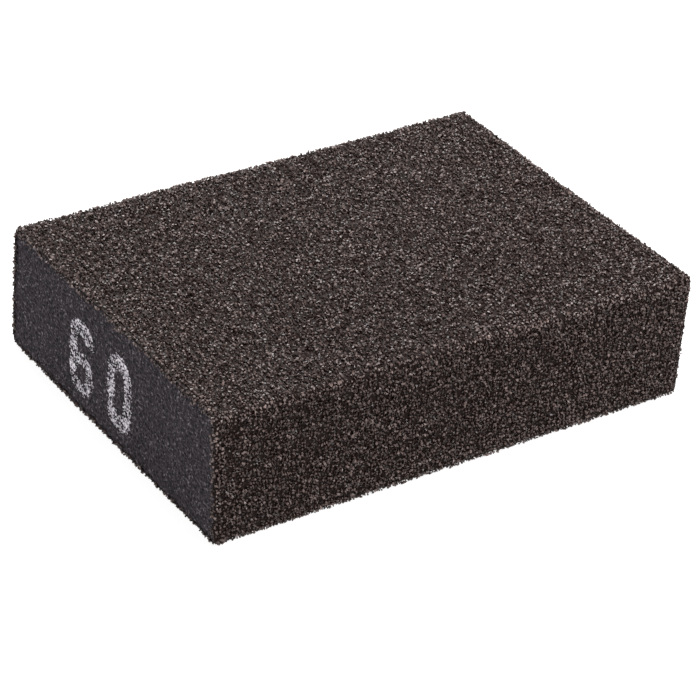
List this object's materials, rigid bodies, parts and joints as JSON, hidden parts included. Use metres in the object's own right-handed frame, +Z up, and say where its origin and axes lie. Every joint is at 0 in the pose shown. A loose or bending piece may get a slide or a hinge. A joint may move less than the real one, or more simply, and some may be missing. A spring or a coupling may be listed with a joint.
{
  "type": "sanding block",
  "caption": "Flexible foam block coated with coarse abrasive grain on both broad faces and both long edges, with bare foam ends for hand sanding of flat and contoured work.",
  "frame": {"origin": "centre of the underside, on the surface of the bottom abrasive coat", "axes": "+X along the block's length, from the numbered bare end to the plain bare end; +Y across its width, from the front coated edge to the back coated edge; +Z up, through its height"},
  "size_m": [0.1, 0.07, 0.025],
  "materials": {
    "foam": "cut closed-cell foam, dark charcoal with a faint violet cast, fine cells, dull",
    "bond_resin": "brown-black cured resin, uneven, slightly glossy between the grains",
    "abrasive_grain": "angular brown-grey mineral grain under thin resin, coarse grade, with small glints",
    "ink": "off-white stamping ink, speckled where the foam's cells took none"
  },
  "bodies": {
    "root": {"foam_core": "foam", "top_bond_coat": "bond_resin", "bottom_bond_coat": "bond_resin", "front_bond_coat": "bond_resin", "back_bond_coat": "bond_resin", "top_abrasive": "abrasive_grain", "bottom_abrasive": "abrasive_grain", "front_abrasive": "abrasive_grain", "back_abrasive": "abrasive_grain", "grit_number": "ink"}
  },
  "joints": []
}
